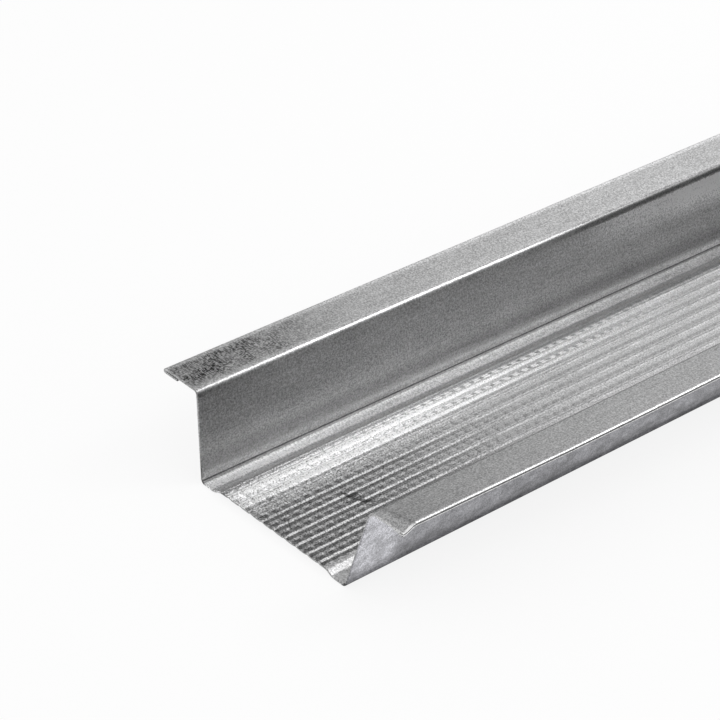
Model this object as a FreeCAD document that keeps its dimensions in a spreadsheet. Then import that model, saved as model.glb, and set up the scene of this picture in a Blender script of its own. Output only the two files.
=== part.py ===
import FreeCAD, Part
import enum
import math
import os

import Sketcher

# Hat channel of hemmed, roll-formed sheet: one piece of one thickness, lying on its crown.
# +X goes across the section towards the near flange, +Y along the length, +Z up.
# The origin is at mid length, on the underside of the crown. Sizes are in millimetres and degrees.

SIZES = {
    "sheet_thickness": 0.55,
    "channel_length": 2400.0,
    "crown_width": 51.5,
    "channel_depth": 24.9,
    "leg_splay": 4.9,
    "bend_radius": 1.0,
    "overall_width": 85.0,
    "near_flange_tilt": 10.0,
    "hem_width": 5.0,
    "hem_radius": 0.1,
    "foot_width": 4.7,
    "riser_run": 2.3,
    "riser_height": 1.05,
    "riser_radius": 2.0,
    "rib_count": 9,
    "rib_pitch": 4.0,
    "rib_height": 0.25,
    "rib_crest_radius": 0.3,
    "rib_foot_radius": 0.4,
}

NODE = "hat_channel"


class Spot(enum.IntEnum):
    """The point of an element that a constraint takes."""

    START = 1
    END = 2
    CENTRE = 3


class Fixed(enum.IntEnum):
    """The sketch's own elements; its origin is the start of the horizontal axis."""

    HORIZONTAL_AXIS = -1
    VERTICAL_AXIS = -2


START, END, CENTRE = Spot
ORIGIN = HORIZONTAL_AXIS = Fixed.HORIZONTAL_AXIS
VERTICAL_AXIS = Fixed.VERTICAL_AXIS


def make_sheet(doc):
    """The spreadsheet that holds every driving dimension."""
    sheet = doc.addObject("Spreadsheet::Sheet", "sizes")
    for row, (name, value) in enumerate(SIZES.items(), start=1):
        sheet.set(f"A{row}", name)
        sheet.set(f"B{row}", str(value))
        sheet.setAlias(f"B{row}", name)
    doc.recompute()
    return sheet


class StripLine:
    """The underside of the bent strip, drawn as one open run of lines and tangent arcs."""

    def __init__(self, sketch, start, heading):
        self.sketch = sketch
        self.point = start
        self.heading = heading
        self.last = None

    def join(self, geometry, first, last):
        """Add one element, tangent to the one before it, and return its number."""
        number = self.sketch.addGeometry(geometry, False)
        if self.last:
            self.sketch.addConstraint(Sketcher.Constraint("Tangent", *self.last, number, first))
        self.last = (number, last)
        return number

    def line(self, length):
        """Draw a straight stretch."""
        step = FreeCAD.Vector(math.cos(self.heading), math.sin(self.heading), 0)
        end = self.point + step * length
        number = self.join(Part.LineSegment(self.point, end), START, END)
        self.point = end
        return number

    def arc(self, radius, turn):
        """Draw an arc that turns left by a positive angle and right by a negative one."""
        side = math.copysign(1, turn)
        to_centre = FreeCAD.Vector(-math.sin(self.heading), math.cos(self.heading), 0) * side * radius
        centre = self.point + to_centre
        start_angle = self.heading - side * math.pi / 2
        low, high = sorted((start_angle, start_angle + turn))
        first, last = (START, END) if side > 0 else (END, START)
        circle = Part.Circle(centre, FreeCAD.Vector(0, 0, 1), radius)
        number = self.join(Part.ArcOfCircle(circle, low, high), first, last)
        self.heading += turn
        self.point = centre + FreeCAD.Vector(math.sin(self.heading), -math.cos(self.heading), 0) * side * radius
        return number

    def bend(self, corner, radius, turn):
        """Draw straight up to the bend at a corner of the mould line, then round it."""
        run = self.point.distanceToPoint(corner) - radius * math.tan(abs(turn) / 2)
        return self.line(run), self.arc(radius, turn)


class Constrainer:
    """Adds named constraints to a sketch and ties each one to the sheet."""

    def __init__(self, sketch):
        self.sketch = sketch

    def plain(self, *arguments):
        """A constraint with no size of its own."""
        self.sketch.addConstraint(Sketcher.Constraint(*arguments))

    def sized(self, name, expression, value, kind, *elements):
        """A constraint whose size comes from the sheet."""
        index = self.sketch.addConstraint(Sketcher.Constraint(kind, *elements, value))
        self.sketch.renameConstraint(index, name)
        self.sketch.setExpression(f"Constraints.{name}", expression)

    def equal_radii(self, name, expression, value, arcs):
        """One radius for a whole set of arcs."""
        self.sized(name, expression, value, "Radius", arcs[0])
        for arc in arcs[1:]:
            self.plain("Equal", arcs[0], arc)

    def corner(self, place, first_line, second_line):
        """The point of the mould line where two straight stretches would meet."""
        number = self.sketch.addGeometry(Part.Point(place), True)
        self.plain("PointOnObject", number, START, first_line)
        self.plain("PointOnObject", number, START, second_line)
        return number


def draw_strip(doc, sheet):
    """The section's underside, from the far hem over the crown to the near hem."""
    thick = sheet.sheet_thickness
    half_crown = sheet.crown_width / 2
    underside = sheet.channel_depth - thick
    splay = sheet.leg_splay * underside / sheet.channel_depth
    leg_turn = math.atan2(underside, splay)
    tilt = math.radians(sheet.near_flange_tilt)
    riser_turn = math.atan2(sheet.riser_height, sheet.riser_run)
    foot_start = half_crown - sheet.foot_width
    riser_top = foot_start - sheet.riser_run
    fold = sheet.hem_radius
    fold_centre = sheet.overall_width / 2 - fold - thick
    hem_run = sheet.hem_width - fold - thick
    outer_bend = sheet.bend_radius + thick
    riser_foot = sheet.riser_radius + thick
    rib_foot = sheet.rib_foot_radius + thick
    rib_reach = rib_foot + sheet.rib_crest_radius
    rib_turn = math.acos(1 - sheet.rib_height / rib_reach)
    rib_half = rib_reach * math.sin(rib_turn)
    count = int(sheet.rib_count)

    corners = {
        "flange": (half_crown + splay, underside),
        "crown": (half_crown, 0),
        "foot": (foot_start, 0),
        "panel": (riser_top, sheet.riser_height),
    }
    near = {name: FreeCAD.Vector(x, z, 0) for name, (x, z) in corners.items()}
    far = {name: FreeCAD.Vector(-x, z, 0) for name, (x, z) in corners.items()}

    sketch = doc.addObject("Sketcher::SketchObject", "strip_underside")
    sketch.Placement = FreeCAD.Placement(
        FreeCAD.Vector(0, 0, 0), FreeCAD.Rotation(FreeCAD.Vector(1, 0, 0), 90))

    pen = StripLine(sketch, FreeCAD.Vector(-fold_centre + hem_run, underside - 2 * fold, 0), math.pi)
    far_return = pen.line(hem_run)
    far_fold = pen.arc(fold, -math.pi)
    far_flange, far_top = pen.bend(far["flange"], sheet.bend_radius, -leg_turn)
    far_leg, far_bottom = pen.bend(far["crown"], outer_bend, leg_turn)
    far_foot, far_rise = pen.bend(far["foot"], riser_foot, riser_turn)
    far_riser, far_land = pen.bend(far["panel"], sheet.riser_radius, -riser_turn)

    flats = []
    feet = []
    crests = []
    for rib in range(count):
        middle = (rib - (count - 1) / 2) * sheet.rib_pitch
        flats.append(pen.line(middle - rib_half - pen.point.x))
        feet.append(pen.arc(rib_foot, rib_turn))
        crests.append(pen.arc(sheet.rib_crest_radius, -2 * rib_turn))
        feet.append(pen.arc(rib_foot, rib_turn))

    last_flat, near_land = pen.bend(near["panel"], sheet.riser_radius, -riser_turn)
    flats.append(last_flat)
    near_riser, near_rise = pen.bend(near["foot"], riser_foot, riser_turn)
    near_foot, near_bottom = pen.bend(near["crown"], outer_bend, leg_turn)
    near_leg, near_top = pen.bend(near["flange"], sheet.bend_radius, tilt - leg_turn)
    near_flange = pen.line((fold_centre - fold * math.sin(tilt) - pen.point.x) / math.cos(tilt))
    near_fold = pen.arc(fold, -math.pi)
    near_return = pen.line(hem_run)

    add = Constrainer(sketch)
    far_corners = (
        add.corner(far["flange"], far_flange, far_leg),
        add.corner(far["crown"], far_leg, far_foot),
        add.corner(far["foot"], far_foot, far_riser),
        add.corner(far["panel"], far_riser, flats[0]),
    )
    near_corners = (
        add.corner(near["flange"], near_flange, near_leg),
        add.corner(near["crown"], near_leg, near_foot),
        add.corner(near["foot"], near_foot, near_riser),
        add.corner(near["panel"], near_riser, flats[-1]),
    )
    for far_corner, near_corner in zip(far_corners, near_corners):
        add.plain("Symmetric", far_corner, START, near_corner, START, VERTICAL_AXIS)

    add.plain("Horizontal", far_flange)
    add.plain("Parallel", far_return, far_flange)
    add.plain("Parallel", near_return, near_flange)
    add.plain("Horizontal", far_foot)
    add.plain("PointOnObject", far_foot, START, HORIZONTAL_AXIS)
    for flat in flats:
        add.plain("Horizontal", flat)

    flange, crown, foot, panel = near_corners
    add.sized("half_crown_width", "sizes.crown_width / 2", half_crown,
              "DistanceX", ORIGIN, START, crown, START)
    add.sized("underside_of_flange", "sizes.channel_depth - sizes.sheet_thickness", underside,
              "DistanceY", crown, START, flange, START)
    add.sized("splay_of_leg", "sizes.leg_splay * (1 - sizes.sheet_thickness / sizes.channel_depth)", splay,
              "DistanceX", crown, START, flange, START)
    add.sized("width_of_foot", "sizes.foot_width", sheet.foot_width,
              "DistanceX", foot, START, crown, START)
    add.sized("run_of_riser", "sizes.riser_run", sheet.riser_run,
              "DistanceX", panel, START, foot, START)
    add.sized("height_of_riser", "sizes.riser_height", sheet.riser_height,
              "DistanceY", foot, START, panel, START)
    add.sized("tilt_of_near_flange", "sizes.near_flange_tilt * 1 deg", tilt,
              "Angle", near_flange)

    add.equal_radii("inside_of_bend", "sizes.bend_radius", sheet.bend_radius, (far_top, near_top))
    add.equal_radii("outside_of_bend", "sizes.bend_radius + sizes.sheet_thickness", outer_bend,
                    (far_bottom, near_bottom))
    add.equal_radii("foot_of_riser", "sizes.riser_radius + sizes.sheet_thickness", riser_foot,
                    (far_rise, near_rise))
    add.equal_radii("top_of_riser", "sizes.riser_radius", sheet.riser_radius, (far_land, near_land))
    add.equal_radii("inside_of_hem", "sizes.hem_radius", fold, (far_fold, near_fold))
    add.equal_radii("foot_of_rib", "sizes.rib_foot_radius + sizes.sheet_thickness", rib_foot, feet)
    add.equal_radii("crest_of_rib", "sizes.rib_crest_radius", sheet.rib_crest_radius, crests)

    hem_edge = "sizes.overall_width / 2 - sizes.hem_radius - sizes.sheet_thickness"
    add.sized("near_hem_centre", hem_edge, fold_centre, "DistanceX", ORIGIN, START, near_fold, CENTRE)
    add.sized("far_hem_centre", hem_edge, fold_centre, "DistanceX", far_fold, CENTRE, ORIGIN, START)
    hem_line = "sizes.hem_width - sizes.hem_radius - sizes.sheet_thickness"
    add.sized("near_hem_return", hem_line, hem_run, "Distance", near_return)
    add.sized("far_hem_return", hem_line, hem_run, "Distance", far_return)

    rib_drop = rib_reach - sheet.rib_height
    add.sized("rise_of_rib",
              "sizes.rib_foot_radius + sizes.sheet_thickness + sizes.rib_crest_radius - sizes.rib_height",
              rib_drop, "DistanceY", crests[0], CENTRE, feet[0], CENTRE)
    for rib in range(1, count):
        add.plain("Horizontal", crests[0], CENTRE, crests[rib], CENTRE)
        add.plain("Horizontal", feet[0], CENTRE, feet[2 * rib], CENTRE)
        add.sized(f"pitch_of_rib_{rib}", "sizes.rib_pitch", sheet.rib_pitch,
                  "DistanceX", crests[rib - 1], CENTRE, crests[rib], CENTRE)
    add.sized("middle_of_first_rib", "sizes.rib_pitch * (sizes.rib_count - 1) / 2",
              sheet.rib_pitch * (count - 1) / 2, "DistanceX", crests[0], CENTRE, ORIGIN, START)
    return sketch


def form_channel(doc, sketch):
    """The strip's line given its thickness and drawn out to the channel's length."""
    section = doc.addObject("Part::Offset2D", "section")
    section.Source = sketch
    section.Mode = "Skin"
    section.Join = "Arc"
    section.Fill = True
    section.Intersection = False
    section.setExpression("Value", "sizes.sheet_thickness")

    channel = doc.addObject("Part::Extrusion", NODE)
    channel.Label = NODE
    channel.Base = section
    channel.DirMode = "Custom"
    channel.Dir = FreeCAD.Vector(0, 1, 0)
    channel.Solid = True
    channel.Symmetric = True
    channel.setExpression("LengthFwd", "sizes.channel_length")
    return channel


def check(doc, part):
    """Stop if any object failed, or if the part isn't one valid solid."""
    for item in doc.Objects:
        if "Invalid" in item.State or "Error" in item.State:
            raise RuntimeError(f"{item.Label} failed: {item.State}")
    if part.Shape.isNull() or not part.Shape.isValid() or len(part.Shape.Solids) != 1:
        raise RuntimeError(f"{part.Label} is not one valid solid")


def main():
    doc = FreeCAD.newDocument("hat_channel")
    sheet = make_sheet(doc)
    sketch = draw_strip(doc, sheet)
    channel = form_channel(doc, sketch)
    doc.recompute()
    check(doc, channel)
    os.makedirs("parts", exist_ok=True)
    channel.Shape.exportStep(os.path.join("parts", f"{channel.Label}.step"))
    print(channel.Label, "sketch fully constrained:", sketch.FullyConstrained)
    print("box", channel.Shape.BoundBox, "volume", channel.Shape.Volume)


main()
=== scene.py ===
import math

import bpy
import numpy as np
from mathutils import Matrix, Vector


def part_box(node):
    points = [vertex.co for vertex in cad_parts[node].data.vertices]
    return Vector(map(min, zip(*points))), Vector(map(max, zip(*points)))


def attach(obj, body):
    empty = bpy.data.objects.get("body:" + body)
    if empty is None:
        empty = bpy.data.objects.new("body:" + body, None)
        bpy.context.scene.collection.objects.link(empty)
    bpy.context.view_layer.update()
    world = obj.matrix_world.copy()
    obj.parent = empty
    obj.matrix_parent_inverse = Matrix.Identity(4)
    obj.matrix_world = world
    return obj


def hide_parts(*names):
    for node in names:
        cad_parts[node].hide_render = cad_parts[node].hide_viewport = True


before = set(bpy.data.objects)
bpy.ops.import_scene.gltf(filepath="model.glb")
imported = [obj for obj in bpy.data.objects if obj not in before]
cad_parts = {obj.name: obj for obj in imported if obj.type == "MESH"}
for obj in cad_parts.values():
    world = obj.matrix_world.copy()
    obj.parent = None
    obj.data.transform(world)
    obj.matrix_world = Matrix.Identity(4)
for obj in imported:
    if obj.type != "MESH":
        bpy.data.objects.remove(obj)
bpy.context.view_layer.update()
sheet_low, sheet_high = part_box("hat_channel")

MM = 0.001


def in_mm(*places):
    """Places given in millimetres, as metres."""
    return tuple(place * MM for place in places)


# The section's sizes, as the solid has them
SHEET = 0.55 * MM
CROWN_WIDTH = 51.5 * MM
CHANNEL_DEPTH = 24.9 * MM
LEG_SPLAY = 4.9 * MM
BEND_RADIUS = 1.0 * MM
NEAR_TILT = math.radians(10.0)
HEM_WIDTH = 5.0 * MM
HEM_RADIUS = 0.1 * MM
FOOT_WIDTH = 4.7 * MM
RISER_RUN = 2.3 * MM
RISER_HEIGHT = 1.05 * MM
RISER_RADIUS = 2.0 * MM
RIB_PITCH = 4.0 * MM
RIB_HEIGHT = 0.25 * MM

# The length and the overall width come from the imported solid
CUT_END = sheet_low.y
LENGTH = sheet_high.y - sheet_low.y
OVERALL_WIDTH = sheet_high.x - sheet_low.x

# How many faces each bend is rounded with, and up to what angle between faces it is shaded smooth
RISER_SEGMENTS = 3
CROWN_SEGMENTS = 6
FLANGE_SEGMENTS = 8
HEM_SEGMENTS = 8
ROUND_PROFILE = 0.5
SMOOTH_ANGLE = math.radians(35)

# The knurl: a row of low bumps in each valley between the ribs, and one outside the outer ribs
VALLEYS = 8
STRETCHES = 6
BAYS = 14
BUMPS_IN_BAY = 8
BUMP_PITCH = LENGTH / (STRETCHES * BAYS * BUMPS_IN_BAY)
BAY = BUMP_PITCH * BUMPS_IN_BAY
STRETCH = BAY * BAYS
GAP = 0.9 * MM
BUMP_RAMP = 0.4 * MM
BUMP_HEIGHT = 0.1 * MM
CREST_DIP = 0.05 * MM

# Places across the valley from a rib's crest, and the rib's height at its shoulder
SHOULDER = 0.22 * MM
SHOULDER_HEIGHT = 0.2 * MM
FLANK_END = 1.3 * MM
BUMP_TOP_START = 2.0 * MM
BUMP_TOP_END = 2.6 * MM
RIB_FOOT = 0.7 * MM
OUTER_TOP_START = 1.25 * MM
OUTER_TOP_END = 1.7 * MM
OUTER_END = 2.1 * MM

# The near flange's edge leans in towards the cut end, and its corner is knocked down
LEAN_SHIFT = (-1.15 * MM, 0, 0)
LEAN_REACH = 66 * MM
DENT_CUTS = in_mm(0.4, 0.8, 1.2, 1.6, 2.0, 2.5, 3.0, 3.5, 4.0)
DENT_WIDTH = 4 * SHEET
DENT_SHIFT = (0, 0, -1.4 * MM)
DENT_REACH = 4.0 * MM

# Points closer than MERGE are one; a point within CLOSE of a place is at it
MERGE = 0.004 * MM
CLOSE = 0.02 * MM


def alone(piece):
    """Make one piece the only selected and active one."""
    bpy.ops.object.select_all(action="DESELECT")
    piece.select_set(True)
    bpy.context.view_layer.objects.active = piece


def choose(piece, wanted):
    """Enter edit mode with the points selected for which wanted(x, y, z) holds."""
    bpy.ops.object.mode_set(mode="OBJECT")
    alone(piece)
    mesh = piece.data
    place = np.empty(len(mesh.vertices) * 3)
    mesh.vertices.foreach_get("co", place)
    place = place.reshape(-1, 3)
    chosen = np.asarray(wanted(place[:, 0], place[:, 1], place[:, 2]), bool)
    mesh.polygons.foreach_set("select", np.zeros(len(mesh.polygons), bool))
    mesh.edges.foreach_set("select", np.zeros(len(mesh.edges), bool))
    mesh.vertices.foreach_set("select", chosen)
    bpy.ops.object.mode_set(mode="EDIT")
    bpy.ops.mesh.select_mode(type="VERT")


def everywhere(x, y, z):
    """A test that every point passes."""
    return np.isfinite(x)


def near_value(value, wanted):
    """True where a coordinate is at a wanted place."""
    return np.abs(value - wanted) < CLOSE


def apply_modifier(piece, kind, **settings):
    """Add a modifier, set it and apply it."""
    bpy.ops.object.mode_set(mode="OBJECT")
    modifier = piece.modifiers.new(kind.title(), kind)
    for name, value in settings.items():
        setattr(modifier, name, value)
    alone(piece)
    bpy.ops.object.modifier_apply(modifier=modifier.name)


def repeat(piece, count, step):
    """Array a piece with its edges merged."""
    apply_modifier(piece, "ARRAY", count=count, use_relative_offset=False, use_constant_offset=True,
                   constant_offset_displace=step, use_merge_vertices=True, merge_threshold=MERGE)


def extrude(shift):
    """Extrude the selected edges by a shift."""
    bpy.ops.mesh.extrude_region_move(TRANSFORM_OT_translate={"value": shift})


def left_normal(heading):
    """The upper side of a stretch that runs at a heading in the section."""
    return Vector((-math.sin(heading), math.cos(heading)))


def upper_corner(corner, first, second):
    """The corner of the upper face over a corner of the underside, between two headings."""
    a, b = left_normal(first), left_normal(second)
    return Vector(corner) + (a + b) * SHEET / (1 + a.dot(b))


class Side:
    """Half of the section's upper face, from the panel out to the hem."""

    def __init__(self, sign, tilt):
        underside = CHANNEL_DEPTH - SHEET
        splay = LEG_SPLAY * underside / CHANNEL_DEPTH
        half = CROWN_WIDTH / 2
        self.sign = sign
        self.tilt = tilt
        self.riser_turn = math.atan2(RISER_HEIGHT, RISER_RUN)
        self.leg_turn = math.atan2(underside, splay)
        foot = half - FOOT_WIDTH
        flange = Vector((half + splay, underside))
        self.panel = upper_corner((foot - RISER_RUN, RISER_HEIGHT), 0, -self.riser_turn)
        self.foot = upper_corner((foot, 0), -self.riser_turn, 0)
        self.crown = upper_corner((half, 0), 0, self.leg_turn)
        self.flange = upper_corner(flange, self.leg_turn, tilt)
        fold_x = OVERALL_WIDTH / 2 - HEM_RADIUS - SHEET
        run = (fold_x - HEM_RADIUS * math.sin(tilt) - flange.x) / math.cos(tilt)
        fold_z = flange.y + run * math.sin(tilt) - HEM_RADIUS * math.cos(tilt)
        self.fold = Vector((fold_x, fold_z))
        self.hem = self.fold + left_normal(tilt) * (HEM_RADIUS + SHEET)

    def shift(self, start, end):
        """The move between two places of the section, as a vector on this side."""
        step = end - start
        return Vector((self.sign * step.x, 0, step.y))

    def at(self, place):
        """A test for the points at a place of the section on this side."""
        return lambda x, y, z: near_value(x, self.sign * place.x) & near_value(z, place.y)


NEAR = Side(1, NEAR_TILT)
FAR = Side(-1, 0.0)
PANEL_TOP = NEAR.panel.y


def cut_across(axis, places):
    """Cut all the faces along lines at places on an axis."""
    for place in places:
        bpy.ops.mesh.select_all(action="SELECT")
        point = Vector((0, 0, 0))
        point[axis] = place
        normal = Vector((0, 0, 0))
        normal[axis] = 1
        bpy.ops.mesh.bisect(plane_co=point, plane_no=normal)


def on_bump(y):
    """True where a place along the channel is on the top of a bump."""
    place = np.mod(y + MERGE, BUMP_PITCH)
    return (place > GAP + BUMP_RAMP) & (place < BUMP_PITCH - BUMP_RAMP + 2 * MERGE)


def in_gap(y):
    """True where a place along the channel is at an edge of the gap between bumps."""
    return np.mod(y + MERGE, BUMP_PITCH) < GAP + 2 * MERGE


def make_cell():
    """One cell of the knurl, from rib crest to rib crest: a gap, then a bump."""
    bpy.ops.object.select_all(action="DESELECT")
    start = Vector((-RIB_PITCH * VALLEYS / 2, 0, PANEL_TOP))
    middle = start + Vector((RIB_PITCH / 2, BUMP_PITCH / 2, 0))
    bpy.ops.mesh.primitive_plane_add(size=1, location=middle)
    cell = bpy.context.object
    cell.scale = (RIB_PITCH, BUMP_PITCH, 1)
    bpy.ops.object.transform_apply(location=True, rotation=True, scale=True)
    bpy.ops.object.mode_set(mode="EDIT")
    across = [SHOULDER, FLANK_END, BUMP_TOP_START, BUMP_TOP_END, RIB_PITCH - RIB_FOOT, RIB_PITCH - SHOULDER]
    cut_across(0, [start.x + place for place in across])
    cut_across(1, [GAP, GAP + BUMP_RAMP, BUMP_PITCH - BUMP_RAMP])

    def bump_points(x, y, z):
        inside = (x > start.x + BUMP_TOP_START - MERGE) & (x < start.x + BUMP_TOP_END + MERGE)
        return inside & on_bump(y)

    def crest_points(x, y, z):
        return near_value(x, start.x) | near_value(x, start.x + RIB_PITCH)

    def shoulder_points(x, y, z):
        return near_value(x, start.x + SHOULDER) | near_value(x, start.x + RIB_PITCH - SHOULDER)

    choose(cell, bump_points)
    bpy.ops.transform.translate(value=(0, 0, BUMP_HEIGHT))
    choose(cell, crest_points)
    bpy.ops.transform.translate(value=(0, 0, RIB_HEIGHT))
    choose(cell, shoulder_points)
    bpy.ops.transform.translate(value=(0, 0, SHOULDER_HEIGHT))
    bpy.ops.object.mode_set(mode="OBJECT")
    return cell


def draw_out_side(bay, side):
    """Extrude one edge of the knurled panel out to the hem, with sharp corners."""
    crest = Vector((RIB_PITCH * VALLEYS / 2, PANEL_TOP + RIB_HEIGHT))
    shoulder = Vector((crest.x + SHOULDER, PANEL_TOP + SHOULDER_HEIGHT))
    flat = [Vector((crest.x + step, PANEL_TOP))
            for step in (RIB_FOOT, OUTER_TOP_START, OUTER_TOP_END, OUTER_END)]
    line = [crest, shoulder, *flat, side.panel]
    choose(bay, side.at(crest))
    for start, end in zip(line, line[1:]):
        extrude(side.shift(start, end))

    def between_bay_ends(x, y, z):
        inside = (y > MERGE) & (y < BAY - MERGE)
        return side.at(side.panel)(x, y, z) & inside

    def outer_bump_points(x, y, z):
        away = side.sign * x - crest.x
        return (away > OUTER_TOP_START - MERGE) & (away < OUTER_TOP_END + MERGE) & on_bump(y)

    choose(bay, between_bay_ends)
    bpy.ops.mesh.dissolve_verts()
    choose(bay, outer_bump_points)
    bpy.ops.transform.translate(value=(0, 0, BUMP_HEIGHT))
    choose(bay, side.at(side.panel))
    extrude(side.shift(side.panel, side.foot))
    extrude(side.shift(side.foot, side.crown))
    extrude(side.shift(side.crown, side.flange))
    extrude(side.shift(side.flange, side.hem))


def round_corner(bay, side, corner, radius, turn, segments):
    """Round one corner of the section."""
    choose(bay, side.at(corner))
    bpy.ops.mesh.bevel(offset=radius * math.tan(turn / 2), offset_type="OFFSET", segments=segments,
                       profile=ROUND_PROFILE, affect="EDGES")


def fold_hem(bay, side):
    """Fold the flange's edge under itself and run it back."""
    choose(bay, side.at(side.hem))
    centre = (side.sign * side.fold.x, 0, side.fold.y)
    bpy.ops.mesh.spin(steps=HEM_SEGMENTS, angle=-side.sign * math.pi, center=centre, axis=(0, 1, 0))
    back = HEM_WIDTH - HEM_RADIUS - SHEET
    extrude((-side.sign * back * math.cos(side.tilt), 0, -back * math.sin(side.tilt)))


def make_bay():
    """One bay of the sheet's upper face: eight bumps long and the full section wide."""
    bay = make_cell()
    bay.name = "hat_channel"
    repeat(bay, VALLEYS, (RIB_PITCH, 0, 0))
    repeat(bay, BUMPS_IN_BAY, (0, BUMP_PITCH, 0))
    for side in (NEAR, FAR):
        flange_turn = side.leg_turn - side.tilt
        draw_out_side(bay, side)
        fold_hem(bay, side)
        round_corner(bay, side, side.panel, RISER_RADIUS + SHEET, side.riser_turn, RISER_SEGMENTS)
        round_corner(bay, side, side.foot, RISER_RADIUS, side.riser_turn, RISER_SEGMENTS)
        round_corner(bay, side, side.crown, BEND_RADIUS, side.leg_turn, CROWN_SEGMENTS)
        round_corner(bay, side, side.flange, BEND_RADIUS + SHEET, flange_turn, FLANGE_SEGMENTS)

    def gap_crest_points(x, y, z):
        return near_value(z, PANEL_TOP + RIB_HEIGHT) & (np.abs(x) < NEAR.panel.x) & in_gap(y)

    choose(bay, gap_crest_points)
    bpy.ops.transform.translate(value=(0, 0, -CREST_DIP))
    bpy.ops.object.mode_set(mode="OBJECT")
    return bay


def bend_corner(piece):
    """Lean the near flange's edge in towards the cut end, and knock its corner down."""
    def edge_points(x, y, z):
        return x > NEAR.hem.x - HEM_WIDTH

    def corner_points(x, y, z):
        return (x > NEAR.hem.x - DENT_WIDTH) & (y < CUT_END + MERGE)

    choose(piece, everywhere)
    cut_across(1, [CUT_END + step for step in DENT_CUTS])
    choose(piece, lambda x, y, z: ~edge_points(x, y, z))
    bpy.ops.mesh.hide()
    choose(piece, lambda x, y, z: edge_points(x, y, z) & (y < CUT_END + MERGE))
    bpy.ops.transform.translate(value=LEAN_SHIFT, use_proportional_edit=True,
                                proportional_edit_falloff="LINEAR", proportional_size=LEAN_REACH)
    choose(piece, corner_points)
    bpy.ops.transform.translate(value=DENT_SHIFT, use_proportional_edit=True,
                                proportional_edit_falloff="SMOOTH", proportional_size=DENT_REACH)
    bpy.ops.mesh.reveal(select=False)


def make_first_stretch():
    """One stretch of the upper face, facing up, which starts and ends with half a gap."""
    stretch = make_bay()
    repeat(stretch, BAYS, (0, BAY, 0))
    choose(stretch, everywhere)
    bpy.ops.mesh.normals_make_consistent(inside=False)
    bpy.ops.object.mode_set(mode="OBJECT")
    upward = sum(face.normal.z * face.area for face in stretch.data.polygons)
    if upward < 0:
        bpy.ops.object.mode_set(mode="EDIT")
        bpy.ops.mesh.flip_normals()
    choose(stretch, lambda x, y, z: y < MERGE)
    bpy.ops.transform.translate(value=(0, GAP / 2, 0))
    choose(stretch, lambda x, y, z: y > STRETCH - MERGE)
    extrude((0, GAP / 2, 0))
    bpy.ops.object.mode_set(mode="OBJECT")
    return stretch


def make_stretches(sheet_metal, edge_metal):
    """The channel in stretches, each a closed skin of the sheet's thickness."""
    first = make_first_stretch()
    pieces = []
    for number in range(STRETCHES):
        piece = first.copy()
        piece.data = first.data.copy()
        piece.name = f"hat_channel_{number + 1}"
        bpy.context.scene.collection.objects.link(piece)
        choose(piece, everywhere)
        bpy.ops.transform.translate(value=(0, CUT_END + number * STRETCH - GAP / 2, 0))
        if number == 0:
            bend_corner(piece)
        piece.data.materials.append(sheet_metal)
        piece.data.materials.append(edge_metal)
        apply_modifier(piece, "SOLIDIFY", thickness=SHEET, offset=-1, use_even_offset=True,
                       use_rim=True, material_offset_rim=1)
        choose(piece, lambda x, y, z: y < CUT_END)
        bpy.ops.transform.resize(value=(1, 0, 1), center_override=(0, CUT_END, 0))
        bpy.ops.object.mode_set(mode="OBJECT")
        pieces.append(piece)
    bpy.data.objects.remove(first)
    return pieces


class Graph:
    """Adds nodes to one node tree and links them."""

    def __init__(self, tree):
        self.tree = tree

    def link(self, source, target):
        """Link one socket to another."""
        self.tree.links.new(source, target)

    def node(self, kind, inputs, **settings):
        """Add a node; an input is a number, a vector, or the socket that it comes from."""
        node = self.tree.nodes.new(kind)
        for name, value in settings.items():
            setattr(node, name, value)
        for name, value in inputs.items():
            if isinstance(value, bpy.types.NodeSocket):
                self.link(value, node.inputs[name])
            else:
                node.inputs[name].default_value = value
        return node

    def maths(self, operation, first, second=0.0):
        """The result of one operation on two values."""
        return self.node("ShaderNodeMath", {0: first, 1: second}, operation=operation).outputs[0]

    def vector_maths(self, operation, output, first, second=(0, 0, 0)):
        """The named output of one operation on two vectors."""
        return self.node("ShaderNodeVectorMath", {0: first, 1: second}, operation=operation).outputs[output]

    def product(self, *values):
        """Several values multiplied."""
        result = values[0]
        for value in values[1:]:
            result = self.maths("MULTIPLY", result, value)
        return result

    def ramp(self, value, start, end, low=0.0, high=1.0):
        """A smooth change from low to high while the value goes from start to end."""
        inputs = {"Value": value, "From Min": start, "From Max": end, "To Min": low, "To Max": high}
        return self.node("ShaderNodeMapRange", inputs, interpolation_type="SMOOTHSTEP").outputs["Result"]

    def band(self, value, places):
        """1 inside a band and 0 outside: it begins, is full, starts to fade and has gone at the places."""
        begin, full, fade, gone = places
        return self.product(self.ramp(value, begin, full), self.ramp(value, gone, fade))

    def mix(self, part, first, second):
        """From the first value to the second by a part between 0 and 1."""
        return self.node("ShaderNodeMix", {0: part, 2: first, 3: second}).outputs[0]

    def paint(self, mask, tone):
        """A factor that is a tone where the mask is 1 and changes nothing where it is 0."""
        return self.mix(mask, 1.0, tone)

    def noise(self, place, scale, detail=2.0, rough=0.5):
        """Noise with its own scale along each axis."""
        stretched = self.vector_maths("MULTIPLY", "Vector", place, scale)
        inputs = {"Vector": stretched, "Scale": 1.0, "Detail": detail, "Roughness": rough}
        return self.node("ShaderNodeTexNoise", inputs).outputs["Fac"]

    def swing(self, noise, size):
        """A noise's usual range brought to plus and minus a size."""
        return self.ramp(noise, *NOISE_RANGE, -size, size)


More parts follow.
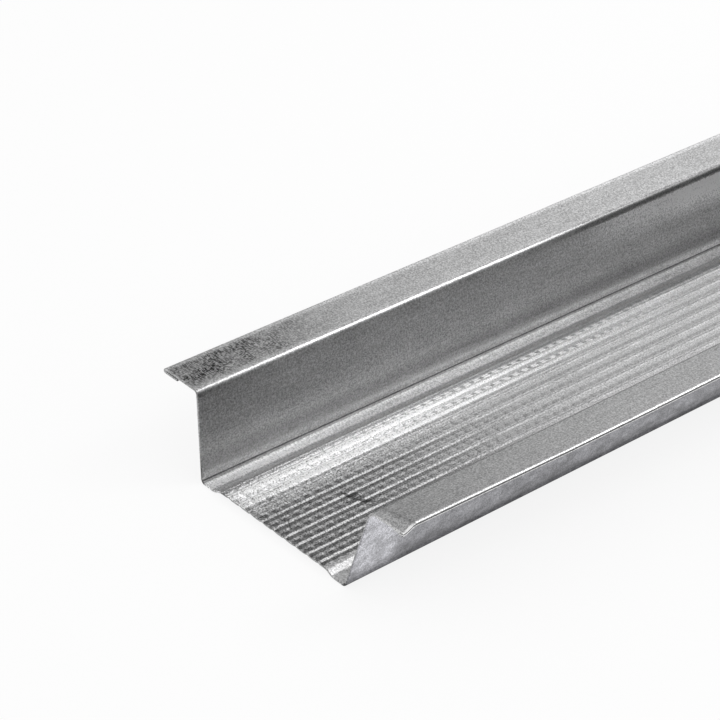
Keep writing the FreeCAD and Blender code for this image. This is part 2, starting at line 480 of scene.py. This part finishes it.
# The metal all over: how bright and rough it is, and its grain, rolling streaks and dull patches
SHEET_LOOK = {"brightness": 0.52, "roughness": 0.3}
EDGE_LOOK = {"brightness": 0.35, "roughness": 0.35}
SMOOTHER = 0.02
ROUGHER = 0.03
NOISE_RANGE = (0.3, 0.7)
PATCHY_RANGE = (0.35, 0.65)
GRAIN_SCALE = (2400, 2000, 2400)
GRAIN_DETAIL = 2.0
GRAIN_ROUGHNESS = 0.7
GRAIN_DEPTH = 0.012 * MM
GRAIN = 0.2
STREAK_SCALE = (1300, 60, 1300)
STREAK = 0.03
STREAK_DEPTH = 0.5
PATCH_SCALE = (170, 90, 170)
PATCH_DETAIL = 3.0
PATCH = 0.02

# The knurled panel: where it is, and its own grain, coarser at the cut end
PANEL_EDGE = in_mm(18.6, 18.2)
PANEL_LEVEL = in_mm(1.45, 1.5)
PANEL_GRAIN = 0.4
PANEL_GRAIN_REST = 0.2
PANEL_GRAIN_FADE = in_mm(20, 90)
PANEL_TONE = 0.86

# Across the knurl from a rib's crest: painted highlights on the crests, and painted shade on the flanks and
# bumps, lighter further on
CREST_BAND = in_mm(0.0, 0.2, 0.5, 0.75)
FLANK_BAND = in_mm(0.55, 0.8, 1.5, 1.9)
VALLEY_BAND = in_mm(1.9, 2.3, 2.9, 3.2)
BUMP_BAND = in_mm(2.45, 2.75, 3.75, 4.0)
BUMP_END_BAND = in_mm(2.9, 3.3, 3.8, 4.0)
FAR_SIDE = in_mm(-6.2, -6.8)
LIT_PART_START = in_mm(30, 110)
SHOWN_START = in_mm(15, 80)
CREST_SPREAD_SCALE = (250, 90, 250)
CREST_SPREAD_RANGE = (0.35, 0.6)
LEAST_CREST_SPREAD = 0.4
FLANK_SHADE = 0.38
FLANK_LIT = 1.08
BUMP_SHADE = 0.33
GAP_SHADE_PART = 0.6
BUMP_END_HIGHLIGHT = 1.35
VALLEY_SHADE = 0.8
CREST_HIGHLIGHT = 2.3
CREST_HIGHLIGHT_FURTHER = 1.4

# A painted highlight: the bright band on the far side of the panel, which comes and goes along the channel
BRIGHT_PERIOD = 420 * MM
BRIGHT_SHIFT = 40 * MM
BRIGHT_SWELL = (0.1, 0.9)
BAND_EDGE = in_mm(-9.6, -10.4)
BAND_SHIFT = 0.5 * MM
BAND_FLANK = in_mm(0.1, 0.5, 1.1, 1.5)
BAND_VALLEY = in_mm(1.3, 1.7, 2.5, 2.9)
BAND_BUMP = in_mm(2.5, 2.9, 3.4, 3.8)
BAND_FADE = in_mm(5, 125)
BAND_TONE = 2.2
BAND_REST = 0.95
BAND_GAP_FADE = in_mm(20, 60)
BAND_GAP_TONE = 1.5
BAND_GAP_REST = 0.75
BAND_FLANK_SHINE = 1.55
BAND_BUMP_SHINE = 3.2
BAND_VALLEY_TONE = 0.82

# The nick in the knurl: the part of a ring that faces one way, and a mark inside it
NICK_PLACE = (0.2 * MM, CUT_END + 30.5 * MM, 0)
NICK_RADIUS = 6.3 * MM
NICK_WIDTH = in_mm(0.75, 0.4)
NICK_FACING = (0.5, -0.865, 0)
NICK_ENDS = in_mm(4.3, 5.2)
MARK_ACROSS = in_mm(0.6, 1.0, 2.0, 2.5)
MARK_ALONG = in_mm(23.8, 24.5, 26.6, 27.4)
MARK_DEPTH = 0.8
NICK_TONE = 0.25

# Painted light and shade: the far riser and foot, lighter at the cut end, and the near foot, with a painted
# highlight on the burr at its end
FOOT_LEVEL = in_mm(2.4, 2.0)
RISER_BAND = in_mm(-21.6, -21.0, -17.5, -16.9)
RISER_FOOT = in_mm(-21.0, -20.2)
RISER_FOOT_TONE = 1.3
RISER_TONE = 1.5
RISER_TOP = in_mm(-19.2, -18.4)
RISER_TOP_TONE = 0.5
RISER_FADE = in_mm(30, 110)
RISER_START = 1.08
RISER_REST = 0.94
FAR_FOOT_BAND = in_mm(-24.9, -23.4, -22.3, -21.3)
FAR_FOOT_FADE = in_mm(15, 60)
FAR_FOOT_TONE = 1.9
FAR_FOOT_REST = 1.2
NEAR_FOOT_BAND = in_mm(19.0, 20.5, 22.2, 22.8)
NEAR_FOOT_TONE = 0.95
BURR_HIGHLIGHT_FADE = in_mm(2.6, 1.0)
BURR_HIGHLIGHT = 1.2

# The far leg: painted shade above its foot, with a painted light patch further on, and painted shade along
# its upper bend
FAR_LEG_FACE = in_mm(-25.4, -25.9)
FAR_LEG_BAND = in_mm(1.0, 1.5, 23.0, 23.6)
SHADE_RISE = in_mm(3.0, 9.5)
SHADE_TONE = 0.33
FAR_LEG_TONE = 0.88
GLOW_RISE = in_mm(2.6, 1.4)
GLOW_TONE = 1.3
UPPER_RISE = in_mm(13, 20)
UPPER_TONE = 1.13
LIGHT_ALONG = in_mm(120, 210, 240, 330)
LIGHT_RISE = in_mm(12, 22)
LIGHT_TONE = 2.6
BEND_LEVEL = in_mm(22.6, 23.2)
BEND_BAND = in_mm(-30.95, -30.55, -26.0, -25.0)
BEND_SWELL = (0.85, 0.3)
BEND_TONE = 0.42

# The near flange's fold: two painted highlights with a painted dark line between, and painted light on the
# knocked-down corner
FOLD_FACE = in_mm(-0.15, 0.1)
FOLD_UPPER = in_mm(0.28, 0.42)
FOLD_LOWER = in_mm(-0.26, -0.14, 0.0, 0.1)
FOLD_SHADE = 0.3
FOLD_SHINE = 1.35
TIP_DROOP = in_mm(0.0, 1.0)
TIP_SHINE = 2.0
DENT_FACE = in_mm(30.5, 31.5)
DENT_DROOP = in_mm(0.0, 0.3)
DENT_LEVEL = in_mm(-3.0, -2.0)
DENT_TONE = 1.5

# The far flange: a painted highlight along its rim, and hatched scuffs, dense at the cut end
FLANGE_FACE = in_mm(-31.5, -32.5)
FLANGE_LEVEL = in_mm(-1.2, -0.8)
RIM_FACE = in_mm(-40.4, -41.5)
RIM_HIGHLIGHT = 1.35
STROKE_SCALE = (900, 3300, 900)
STROKE_RANGE = (0.5, 0.62)
LINE_SCALE = (3300, 900, 3300)
LINE_RANGE = (0.52, 0.64)
SPREAD_SCALE = (300, 180, 300)
LEAST_SPREAD = 0.6
SCUFF_FADE = in_mm(10, 60)
SCUFF_REST = 0.12
SCUFF_MARKS = 0.75
SCUFF_FILM = 0.18
SCUFF_START = in_mm(0.0, 0.5)
SCUFF_EDGE = in_mm(-41.4, -40.4)
SCUFF_EDGE_PART = 0.4
SCUFF_ROUGHNESS = 0.2

# Painted shade in the inside corners at the feet of the legs
CORNER_BAND = tuple(CROWN_WIDTH / 2 + place for place in in_mm(-1.15, -0.75, 0.2, 0.6))
CORNER_LEVEL = (SHEET + 0.75 * MM, SHEET + 0.45 * MM)
CORNER_SHADE = 0.25

# The near leg's outside: painted light at the cut end, painted shade and a little blue behind it, painted
# shade at the bottom
UNDER_FACE = in_mm(24.0, 24.6)
UNDER_LEVEL = in_mm(0.45, 0.35)
OUTSIDE_FACE = in_mm(-0.42, -0.3)
LEG_TOP = in_mm(-1, -2)
LOW_EDGE = 1.5 * MM
LOW_FALL = in_mm(7, 3)
LOW_TONE = 0.6
FOOT_FALL = in_mm(3.0, 1.4)
FOOT_TONE = 0.95
BLOTCH_SCALE = (420, 260, 420)
BLOTCH = (0.82, 1.18)
LEG_FADE = in_mm(11, 18)
LEG_TONE = 0.52
BLUE = 1.005
LEG_BLUE = 1.06
EDGE_FALL = in_mm(3.4, 2.0)
EDGE_TINT = 0.5


class Surface:
    """The places on the channel and the noises that its metal is painted by."""

    def __init__(self, graph):
        self.graph = graph
        self.place = graph.node("ShaderNodeTexCoord", {}).outputs["Object"]
        axes = graph.node("ShaderNodeSeparateXYZ", {0: self.place}).outputs
        self.x = axes["X"]
        self.z = axes["Z"]
        self.from_cut = graph.maths("SUBTRACT", axes["Y"], CUT_END)
        self.away = graph.maths("ABSOLUTE", self.x)
        self.grain = graph.noise(self.place, GRAIN_SCALE, GRAIN_DETAIL, GRAIN_ROUGHNESS)
        self.streak = graph.noise(self.place, STREAK_SCALE)
        self.patch = graph.noise(self.place, PATCH_SCALE, PATCH_DETAIL)
        self.on_panel = graph.product(graph.ramp(self.away, *PANEL_EDGE), graph.ramp(self.z, *PANEL_LEVEL))
        turn = 2 * math.pi / BRIGHT_PERIOD
        shifted = graph.maths("ADD", self.from_cut, BRIGHT_SHIFT)
        self.swell = graph.maths("SINE", graph.maths("MULTIPLY", shifted, turn))
        self.droop = graph.ramp(self.from_cut, DENT_REACH, 0.0, 0.0, -DENT_SHIFT[2])

    def plain(self, brightness):
        """The tone of the metal with its grain, streaks and patches."""
        graph = self.graph
        fine = graph.ramp(self.from_cut, *PANEL_GRAIN_FADE, PANEL_GRAIN, PANEL_GRAIN_REST)
        strength = graph.mix(self.on_panel, GRAIN, fine)
        tone = graph.maths("ADD", graph.product(graph.swing(self.grain, 1.0), strength), brightness)
        tone = graph.maths("ADD", tone, graph.swing(self.streak, STREAK))
        return graph.maths("ADD", tone, graph.swing(self.patch, PATCH))

    def shaded_knurl(self, bump_part):
        """Painted shade on the ribs' near flanks and on the bumps, and painted highlights on the crests;
        bump_part is 1 on a bump.
        """
        graph = self.graph
        across = graph.maths("FLOORED_MODULO", self.x, RIB_PITCH)
        far_side = graph.ramp(self.x, *FAR_SIDE)
        lit_part = graph.maths("MAXIMUM", graph.ramp(self.from_cut, *LIT_PART_START), far_side)
        shown = graph.maths("MAXIMUM", graph.ramp(self.from_cut, *SHOWN_START), far_side)
        crest_spread = graph.ramp(graph.noise(self.place, CREST_SPREAD_SCALE), *CREST_SPREAD_RANGE, LEAST_CREST_SPREAD, 1.0)
        flank = graph.band(across, FLANK_BAND)
        bump = graph.product(graph.band(across, BUMP_BAND), graph.ramp(bump_part, 0.0, 1.0, GAP_SHADE_PART, 1.0))
        valley = graph.product(graph.band(across, VALLEY_BAND), shown)
        bump_end = graph.product(graph.band(across, BUMP_END_BAND), shown)
        crest = graph.product(graph.band(across, CREST_BAND), crest_spread)
        return graph.product(graph.paint(flank, graph.mix(lit_part, FLANK_SHADE, FLANK_LIT)),
                             graph.paint(bump, graph.mix(shown, BUMP_SHADE, 1.0)),
                             graph.paint(valley, VALLEY_SHADE), graph.paint(bump_end, BUMP_END_HIGHLIGHT),
                             graph.paint(crest, graph.mix(shown, CREST_HIGHLIGHT, CREST_HIGHLIGHT_FURTHER)))

    def bright_knurl(self, bump_part):
        """The painted highlight of the far band, strongest on the bumps and at the cut end."""
        graph = self.graph
        across = graph.maths("FLOORED_MODULO", graph.maths("SUBTRACT", self.x, BAND_SHIFT), RIB_PITCH)
        gap_tone = graph.ramp(self.from_cut, *BAND_GAP_FADE, BAND_GAP_TONE, BAND_GAP_REST)
        bump_tone = graph.mix(bump_part, gap_tone, BAND_BUMP_SHINE)
        return graph.product(graph.paint(graph.band(across, BAND_FLANK), BAND_FLANK_SHINE),
                             graph.paint(graph.band(across, BAND_VALLEY), BAND_VALLEY_TONE),
                             graph.paint(graph.band(across, BAND_BUMP), bump_tone),
                             graph.ramp(self.from_cut, *BAND_FADE, BAND_TONE, BAND_REST))

    def knurl(self):
        """The tone of the knurled panel: painted shade and highlights in most places, a painted highlight
        in the far band.
        """
        graph = self.graph
        from_gap = graph.maths("PINGPONG", self.from_cut, BUMP_PITCH / 2)
        bump_part = graph.ramp(from_gap, GAP / 2, GAP / 2 + 2 * BUMP_RAMP)
        in_band = graph.product(graph.ramp(self.x, *BAND_EDGE), graph.ramp(self.swell, *BRIGHT_SWELL))
        tone = graph.mix(in_band, self.shaded_knurl(bump_part), self.bright_knurl(bump_part))
        return graph.paint(self.on_panel, graph.product(tone, PANEL_TONE))

    def feet(self):
        """The painted light and shade of the far riser and of both feet."""
        graph = self.graph
        low = graph.ramp(self.z, *FOOT_LEVEL)
        riser = graph.product(graph.band(self.x, RISER_BAND), low)
        slope = graph.product(graph.ramp(self.x, *RISER_FOOT, RISER_FOOT_TONE, RISER_TONE),
                              graph.ramp(self.from_cut, *RISER_FADE, RISER_START, RISER_REST))
        slope = graph.mix(graph.ramp(self.x, *RISER_TOP), slope, RISER_TOP_TONE)
        far_foot = graph.product(graph.band(self.x, FAR_FOOT_BAND), low)
        fading = graph.ramp(self.from_cut, *FAR_FOOT_FADE, FAR_FOOT_TONE, FAR_FOOT_REST)
        near_foot = graph.product(graph.band(self.x, NEAR_FOOT_BAND), low)
        # A painted highlight on the burr at the near foot's cut end
        burr_highlight = graph.ramp(self.from_cut, *BURR_HIGHLIGHT_FADE, NEAR_FOOT_TONE, BURR_HIGHLIGHT)
        return graph.product(graph.paint(riser, slope), graph.paint(far_foot, fading),
                             graph.paint(near_foot, burr_highlight))

    def far_leg(self):
        """The painted light and shade of the far leg and of the bend at its top."""
        graph = self.graph
        leg = graph.product(graph.ramp(self.x, *FAR_LEG_FACE), graph.band(self.z, FAR_LEG_BAND))
        shade = graph.product(graph.ramp(self.z, *SHADE_RISE, SHADE_TONE, FAR_LEG_TONE),
                              graph.ramp(self.z, *GLOW_RISE, 1.0, GLOW_TONE),
                              graph.ramp(self.z, *UPPER_RISE, 1.0, UPPER_TONE))
        light = graph.product(leg, graph.band(self.from_cut, LIGHT_ALONG), graph.ramp(self.z, *LIGHT_RISE))
        bend = graph.product(graph.ramp(self.z, *BEND_LEVEL), graph.band(self.x, BEND_BAND),
                             graph.ramp(self.swell, *BEND_SWELL))
        return graph.product(graph.paint(leg, shade), graph.paint(light, LIGHT_TONE),
                             graph.paint(bend, BEND_TONE))

    def near_flange(self):
        """The painted highlights and shade of the near flange's fold, and the painted light on its
        knocked-down corner.
        """
        graph = self.graph
        lean = graph.ramp(self.from_cut, 0.0, LEAN_REACH, -LEAN_SHIFT[0], 0.0)
        past_fold = graph.maths("SUBTRACT", graph.maths("ADD", self.x, lean), NEAR.fold.x)
        above_fold = graph.maths("SUBTRACT", graph.maths("ADD", self.z, self.droop), NEAR.fold.y)
        upper = graph.ramp(above_fold, *FOLD_UPPER)
        lower = graph.band(above_fold, FOLD_LOWER)
        shine = graph.ramp(self.droop, *TIP_DROOP, FOLD_SHINE, TIP_SHINE)
        fold = graph.mix(graph.maths("MAXIMUM", upper, lower), FOLD_SHADE, shine)
        height = graph.maths("SUBTRACT", self.z, NEAR.fold.y)
        dent = graph.product(graph.ramp(self.x, *DENT_FACE), graph.ramp(self.droop, *DENT_DROOP),
                             graph.ramp(height, *DENT_LEVEL))
        return graph.product(graph.paint(graph.ramp(past_fold, *FOLD_FACE), fold),
                             graph.paint(dent, DENT_TONE))

    def far_flange(self):
        """The tone of the far flange with the painted highlight on its rim, and how scuffed each place on
        it is.
        """
        graph = self.graph
        height = graph.maths("SUBTRACT", self.z, CHANNEL_DEPTH)
        flange = graph.product(graph.ramp(self.x, *FLANGE_FACE), graph.ramp(height, *FLANGE_LEVEL))
        rim = graph.product(flange, graph.ramp(self.x, *RIM_FACE))
        strokes = graph.ramp(graph.noise(self.place, STROKE_SCALE, 0.0), *STROKE_RANGE)
        lines = graph.ramp(graph.noise(self.place, LINE_SCALE, 0.0), *LINE_RANGE)
        marks = graph.product(graph.maths("MAXIMUM", strokes, lines), SCUFF_MARKS)
        spread = graph.ramp(graph.noise(self.place, SPREAD_SCALE), *PATCHY_RANGE)
        scuff = graph.product(flange, graph.ramp(self.from_cut, *SCUFF_FADE, 1.0, SCUFF_REST),
                              graph.maths("ADD", marks, SCUFF_FILM),
                              graph.ramp(spread, 0.0, 1.0, LEAST_SPREAD, 1.0),
                              graph.ramp(self.from_cut, *SCUFF_START),
                              graph.ramp(self.x, *SCUFF_EDGE, SCUFF_EDGE_PART, 1.0))
        tone = graph.product(graph.paint(rim, RIM_HIGHLIGHT), graph.maths("SUBTRACT", 1.0, scuff))
        return tone, scuff

    def nick(self):
        """The tone of the nick: part of a ring, and a mark inside it."""
        graph = self.graph
        flat = graph.vector_maths("MULTIPLY", "Vector", self.place, (1, 1, 0))
        off = graph.vector_maths("SUBTRACT", "Vector", flat, NICK_PLACE)
        reach = graph.vector_maths("LENGTH", "Value", off)
        facing = graph.vector_maths("DOT_PRODUCT", "Value", off, NICK_FACING)
        from_ring = graph.maths("ABSOLUTE", graph.maths("SUBTRACT", reach, NICK_RADIUS))
        ring = graph.product(graph.ramp(from_ring, *NICK_WIDTH), graph.ramp(facing, *NICK_ENDS))
        mark = graph.product(graph.band(self.x, MARK_ACROSS), graph.band(self.from_cut, MARK_ALONG),
                             MARK_DEPTH)
        nick = graph.product(graph.maths("MAXIMUM", ring, mark), self.on_panel)
        return graph.paint(nick, NICK_TONE)

    def corners(self):
        """The painted shade in the inside corners."""
        graph = self.graph
        corner = graph.product(graph.band(self.away, CORNER_BAND), graph.ramp(self.z, *CORNER_LEVEL))
        return graph.ramp(corner, 0.0, 1.0, 1.0, CORNER_SHADE)

    def outside(self):
        """1 on the near leg's outside, round its bend and just under it, and 0 elsewhere."""
        graph = self.graph
        under = graph.product(graph.ramp(self.x, *UNDER_FACE), graph.ramp(self.z, *UNDER_LEVEL))
        leg_line = graph.product(self.z, 1 / math.tan(NEAR.leg_turn))
        past_leg = graph.maths("SUBTRACT", graph.maths("SUBTRACT", self.x, leg_line), CROWN_WIDTH / 2)
        return graph.maths("MAXIMUM", under, graph.ramp(past_leg, *OUTSIDE_FACE))

    def leg_shade(self):
        """The painted shade on the near leg's outside, darker to the bottom and away from the cut end."""
        graph = self.graph
        uneven = graph.maths("ADD", self.z, graph.swing(self.patch, LOW_EDGE))
        blotch = graph.ramp(graph.noise(self.place, BLOTCH_SCALE), *PATCHY_RANGE, *BLOTCH)
        return graph.product(graph.ramp(uneven, *LOW_FALL, 1.0, LOW_TONE),
                             graph.ramp(self.z, *FOOT_FALL, 1.0, FOOT_TONE), blotch,
                             graph.ramp(self.from_cut, *LEG_FADE, 1.0, LEG_TONE))


def zinc(name, brightness, roughness):
    """Galvanised sheet: a fine grain, rolling streaks and dull patches, scuffs and a nick, with painted
    light, shade and highlights by place.
    """
    material = bpy.data.materials.new(name)
    material.use_nodes = True
    shader = material.node_tree.nodes["Principled BSDF"]
    graph = Graph(material.node_tree)
    surface = Surface(graph)
    flange_tone, scuff = surface.far_flange()
    outside = surface.outside()
    height = graph.maths("SUBTRACT", surface.z, CHANNEL_DEPTH)
    near_leg = graph.product(outside, graph.ramp(height, *LEG_TOP))
    tone = graph.product(surface.plain(brightness), surface.knurl(), surface.feet(), surface.far_leg(),
                         surface.near_flange(), flange_tone, surface.nick(), surface.corners(),
                         graph.paint(near_leg, surface.leg_shade()))
    tone = graph.maths("MINIMUM", tone, 1.0)
    blue = graph.product(tone, graph.mix(near_leg, BLUE, LEG_BLUE))
    colour = graph.node("ShaderNodeCombineColor", {0: tone, 1: tone, 2: blue}).outputs[0]
    # Painted shade in the specular tint: the near leg's outside reflects less near its bottom
    edge = graph.paint(graph.product(outside, graph.ramp(surface.z, *EDGE_FALL)), EDGE_TINT)
    tint = graph.node("ShaderNodeCombineColor", {0: edge, 1: edge, 2: edge}).outputs[0]
    dull = graph.ramp(surface.patch, *NOISE_RANGE, roughness - SMOOTHER, roughness + ROUGHER)
    rough = graph.maths("ADD", dull, graph.product(scuff, SCUFF_ROUGHNESS))
    relief = graph.maths("ADD", surface.grain, graph.product(surface.streak, STREAK_DEPTH))
    bump = graph.node("ShaderNodeBump", {"Strength": 1.0, "Distance": GRAIN_DEPTH, "Height": relief})
    shader.inputs["Metallic"].default_value = 1.0
    graph.link(colour, shader.inputs["Base Color"])
    graph.link(tint, shader.inputs["Specular Tint"])
    graph.link(rough, shader.inputs["Roughness"])
    graph.link(bump.outputs[0], shader.inputs["Normal"])
    return material


# The photograph's viewpoint, worked out from the channel's lines
AZIMUTH = math.radians(42.071)
ELEVATION = math.radians(33.159)
ROLL = math.radians(7.283)
DISTANCE = 747.65 * MM
ASIDE = 21.14 * MM
ABOVE = 41.97 * MM
FOCAL_PIXELS = 3107.7
FRAME_PIXELS = 720
SENSOR_WIDTH = 36
CLIP_START = 0.01
CLIP_END = 50

# The floor and the light that the studio gives
WHITE = (1, 1, 1, 1)
FLOOR_SIZE = 12
FLOOR_COLOUR = (0.9, 0.9, 0.9, 1)
FLOOR_ROUGHNESS = 0.9
FLOOR_WHITE = 0.85
WORLD_LIGHT = 0.9

# What the metal mirrors: a bright side and a dark one, both dimmer low down and to the near side
BRIGHT_SIDE = (0.47, 0.76, -0.44)
BRIGHT_TURN = (-0.09, 0.03)
DARK_LEVEL = 0.3
BRIGHT_LEVEL = 1.5
NEAR_SIDE_TURN = (-0.45, -0.15)
NEAR_SIDE_LEVEL = 0.55
HORIZON = (0.25, 0.5)
HORIZON_LEVEL = 0.3

# Behind the photograph's viewpoint it mirrors one even level
BEHIND = (0.3, 0.0)
BEHIND_LEVEL = 0.8

# The one lamp, and the place on the channel that it looks at
KEY_TARGET = Vector((-14 * MM, CUT_END + 60 * MM, 0))
KEY_DIRECTION = (0.288, 0.626, 0.722)
KEY_DISTANCE = 0.6
KEY_SIZE = 0.2
KEY_ENERGY = 0.56


def make_camera():
    """The camera at the photograph's viewing angle, aimed past the cut end."""
    back = Vector((math.sin(AZIMUTH) * math.cos(ELEVATION), -math.cos(AZIMUTH) * math.cos(ELEVATION),
                   math.sin(ELEVATION)))
    level_right = Vector((math.cos(AZIMUTH), math.sin(AZIMUTH), 0))
    level_up = back.cross(level_right)
    right = level_right * math.cos(ROLL) + level_up * math.sin(ROLL)
    up = level_up * math.cos(ROLL) - level_right * math.sin(ROLL)
    cut_end = Vector((0, CUT_END, 0))
    place = cut_end + right * ASIDE + up * ABOVE + back * DISTANCE
    data = bpy.data.cameras.new("photo_camera")
    data.sensor_width = SENSOR_WIDTH
    data.lens = FOCAL_PIXELS / FRAME_PIXELS * SENSOR_WIDTH
    data.clip_start = CLIP_START
    data.clip_end = CLIP_END
    camera = bpy.data.objects.new("photo_camera", data)
    turn = Matrix((right, up, back)).transposed()
    camera.matrix_world = Matrix.Translation(place) @ turn.to_4x4()
    bpy.context.scene.collection.objects.link(camera)
    bpy.context.scene.camera = camera


def make_floor():
    """A plain pale floor, which the camera and reflections see as almost white, with its shadow."""
    bpy.ops.object.select_all(action="DESELECT")
    bpy.ops.mesh.primitive_plane_add(size=FLOOR_SIZE, location=(0, 0, 0))
    floor = bpy.context.object
    floor.name = "floor"
    material = bpy.data.materials.new("floor")
    material.use_nodes = True
    nodes = material.node_tree.nodes
    graph = Graph(material.node_tree)
    shader = nodes["Principled BSDF"]
    shader.inputs["Base Color"].default_value = FLOOR_COLOUR
    shader.inputs["Roughness"].default_value = FLOOR_ROUGHNESS
    path = graph.node("ShaderNodeLightPath", {})
    seen = graph.maths("MAXIMUM", path.outputs["Is Camera Ray"], path.outputs["Is Glossy Ray"])
    seen = graph.maths("MAXIMUM", seen, path.outputs["Is Transmission Ray"])
    white = graph.node("ShaderNodeEmission", {"Color": WHITE, "Strength": 1.0})
    inputs = {0: graph.product(seen, FLOOR_WHITE), 1: shader.outputs[0], 2: white.outputs[0]}
    mixed = graph.node("ShaderNodeMixShader", inputs)
    graph.link(mixed.outputs[0], nodes["Material Output"].inputs["Surface"])
    floor.data.materials.append(material)


def make_world():
    """White for the camera, softer for the light it gives, and lighter and darker sides to mirror."""
    world = bpy.data.worlds.new("studio")
    bpy.context.scene.world = world
    world.use_nodes = True
    nodes = world.node_tree.nodes
    graph = Graph(world.node_tree)
    sky = nodes["Background"]
    sky.inputs["Color"].default_value = WHITE
    sky.inputs["Strength"].default_value = WORLD_LIGHT
    seen = graph.node("ShaderNodeBackground", {"Color": WHITE, "Strength": 1.0})

    towards = graph.node("ShaderNodeTexCoord", {}).outputs["Generated"]
    side = graph.vector_maths("DOT_PRODUCT", "Value", towards, Vector(BRIGHT_SIDE).normalized())
    axes = graph.node("ShaderNodeSeparateXYZ", {0: towards}).outputs
    strength = graph.product(graph.ramp(axes["X"], *NEAR_SIDE_TURN, 1.0, NEAR_SIDE_LEVEL),
                             graph.ramp(side, *BRIGHT_TURN, DARK_LEVEL, BRIGHT_LEVEL),
                             graph.ramp(axes["Z"], *HORIZON, HORIZON_LEVEL, 1.0))
    strength = graph.mix(graph.ramp(axes["Y"], *BEHIND), strength, BEHIND_LEVEL)
    mirrored = graph.node("ShaderNodeBackground", {"Color": WHITE, "Strength": strength})

    path = graph.node("ShaderNodeLightPath", {})
    direct = graph.maths("MAXIMUM", path.outputs["Is Camera Ray"], path.outputs["Is Transmission Ray"])
    inputs = {0: direct, 1: sky.outputs[0], 2: seen.outputs[0]}
    first = graph.node("ShaderNodeMixShader", inputs)
    inputs = {0: path.outputs["Is Glossy Ray"], 1: first.outputs[0], 2: mirrored.outputs[0]}
    second = graph.node("ShaderNodeMixShader", inputs)
    graph.link(second.outputs[0], nodes["World Output"].inputs["Surface"])


def add_key_lamp():
    """A soft lamp that looks at the knurl near the cut end."""
    data = bpy.data.lights.new("key", "AREA")
    data.shape = "RECTANGLE"
    data.size = KEY_SIZE
    data.size_y = KEY_SIZE
    data.energy = KEY_ENERGY
    lamp = bpy.data.objects.new("key", data)
    way = Vector(KEY_DIRECTION).normalized()
    lamp.location = KEY_TARGET + way * KEY_DISTANCE
    lamp.rotation_euler = way.to_track_quat("Z", "Y").to_euler()
    bpy.context.scene.collection.objects.link(lamp)


sheet_metal = zinc("galvanised_steel", **SHEET_LOOK)
edge_metal = zinc("sheared_edge", **EDGE_LOOK)
for piece in make_stretches(sheet_metal, edge_metal):
    alone(piece)
    bpy.ops.object.shade_smooth_by_angle(angle=SMOOTH_ANGLE)
    apply_modifier(piece, "WEIGHTED_NORMAL", keep_sharp=True)
    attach(piece, "root")
    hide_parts("hat_channel")

make_camera()
make_floor()
make_world()
add_key_lamp()
bpy.context.scene.view_settings.view_transform = "Standard"
